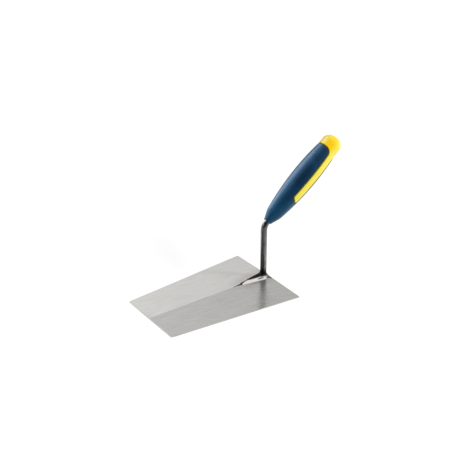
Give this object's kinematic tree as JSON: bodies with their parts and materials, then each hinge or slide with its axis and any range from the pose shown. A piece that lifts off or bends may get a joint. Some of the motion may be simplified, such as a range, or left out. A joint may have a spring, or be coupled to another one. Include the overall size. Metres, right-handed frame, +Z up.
{
  "type": "brick trowel",
  "caption": "Square-ended brick trowel: tapered ground steel blade, cranked round shank welded on its ridge, and a soft-sleeved handle with side tongues and a domed end cap.",
  "frame": {"origin": "middle of the blade's flat underside, halfway between toe and heel edges and between the long edges", "axes": "+X from the toe to the heel and on along the handle, +Y across the blade, +Z up from the underside"},
  "size_m": [0.2916, 0.1328, 0.1741],
  "materials": {
    "blade_steel": "satin, finely ground along the length",
    "bar_steel": "bare drawn bar, darker and smoother than the blade",
    "weld_steel": "ground bright",
    "core_plastic": "moulded, satin gloss, warm yellow",
    "sleeve_rubber": "soft moulded sleeve, satin, dark blue"
  },
  "bodies": {
    "root": {"blade": "blade_steel", "shank": "bar_steel", "weld_bead": "weld_steel", "handle_core": "core_plastic", "grip_sleeve": "sleeve_rubber"}
  },
  "joints": []
}
